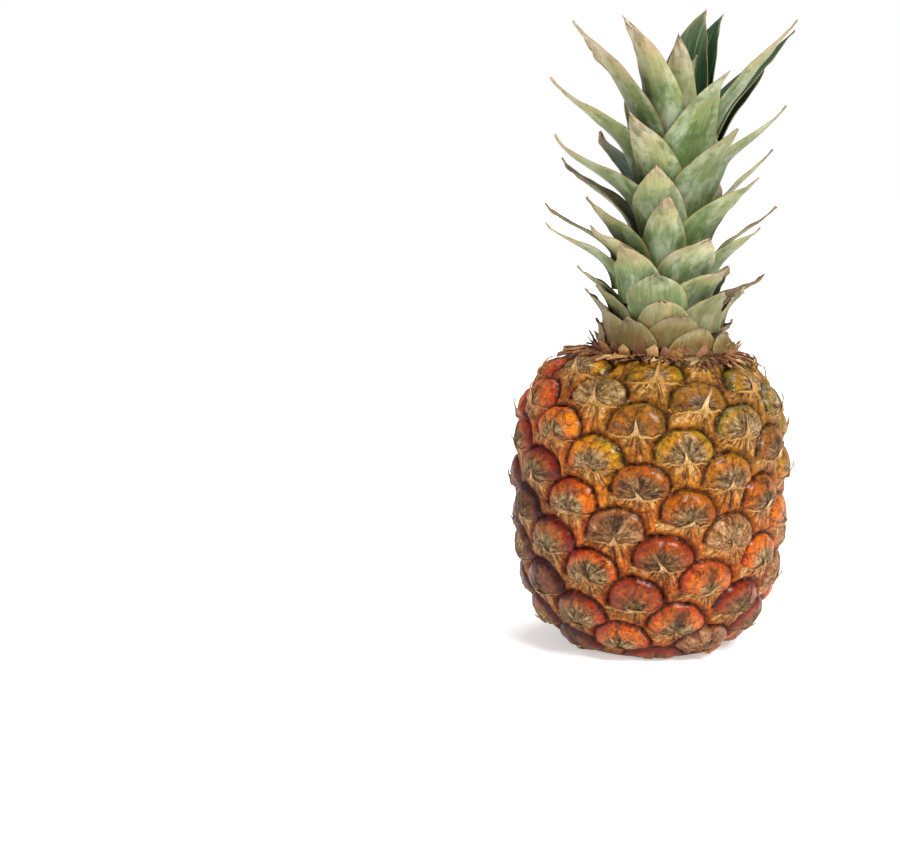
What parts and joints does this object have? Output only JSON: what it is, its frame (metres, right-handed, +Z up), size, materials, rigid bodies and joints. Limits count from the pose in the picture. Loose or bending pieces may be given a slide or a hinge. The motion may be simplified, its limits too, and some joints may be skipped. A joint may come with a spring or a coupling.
{
  "type": "pineapple",
  "caption": "Whole ripe pineapple standing on its cut base: a barrel-shaped fruit with a spiral rind of domed eyes, and a tall crown of pointed trough-shaped leaves.",
  "frame": {"origin": "centre of the fruit's flat base, on the face it stands on", "axes": "+Z up the fruit towards the crown, -Y out of the front of the fruit, +X to its right"},
  "size_m": [0.1211, 0.1207, 0.2792],
  "materials": {
    "rind": "waxy, glossy on the rims of the eyes and dry on the bracts, olive to orange-red",
    "cut_stalk": "dry fibrous cut end",
    "crown_stem": "pale fibrous stem",
    "leaf_green": "waxy grey-green with a pale bloom, dark green inside",
    "leaf_base_dry": "yellow-green going dry and brown at the edge",
    "leaf_dry": "dry, curled and grey-brown"
  },
  "bodies": {
    "root": {"fruit_body": "rind", "stalk_stub": "cut_stalk", "crown_stem": "crown_stem", "leaf_01": "leaf_base_dry", "leaf_02": "leaf_base_dry", "leaf_03": "leaf_base_dry", "leaf_04": "leaf_base_dry", "leaf_05": "leaf_base_dry", "leaf_06": "leaf_base_dry", "leaf_07": "leaf_base_dry", "leaf_08": "leaf_green", "leaf_09": "leaf_green", "leaf_10": "leaf_green", "leaf_11": "leaf_green", "leaf_12": "leaf_green", "leaf_13": "leaf_green", "leaf_14": "leaf_green", "leaf_15": "leaf_green", "leaf_16": "leaf_dry", "leaf_17": "leaf_green", "leaf_18": "leaf_green", "leaf_19": "leaf_green", "leaf_20": "leaf_green", "leaf_21": "leaf_green", "leaf_22": "leaf_green", "leaf_23": "leaf_green", "leaf_24": "leaf_green", "leaf_25": "leaf_green", "leaf_26": "leaf_green", "leaf_27": "leaf_green", "leaf_28": "leaf_dry", "leaf_29": "leaf_dry", "leaf_30": "leaf_green", "leaf_31": "leaf_green", "leaf_32": "leaf_green", "leaf_33": "leaf_green", "leaf_34": "leaf_green", "leaf_35": "leaf_dry", "leaf_36": "leaf_green", "leaf_37": "leaf_dry", "leaf_38": "leaf_green", "leaf_39": "leaf_green", "leaf_40": "leaf_green", "leaf_41": "leaf_green", "leaf_42": "leaf_green", "leaf_43": "leaf_green", "leaf_44": "leaf_green", "leaf_45": "leaf_green", "leaf_46": "leaf_green", "leaf_47": "leaf_green", "leaf_48": "leaf_green", "leaf_49": "leaf_green", "leaf_50": "leaf_green", "leaf_51": "leaf_green", "leaf_52": "leaf_green", "leaf_53": "leaf_green", "leaf_54": "leaf_green", "leaf_55": "leaf_green", "leaf_56": "leaf_green", "leaf_57": "leaf_green"}
  },
  "joints": []
}
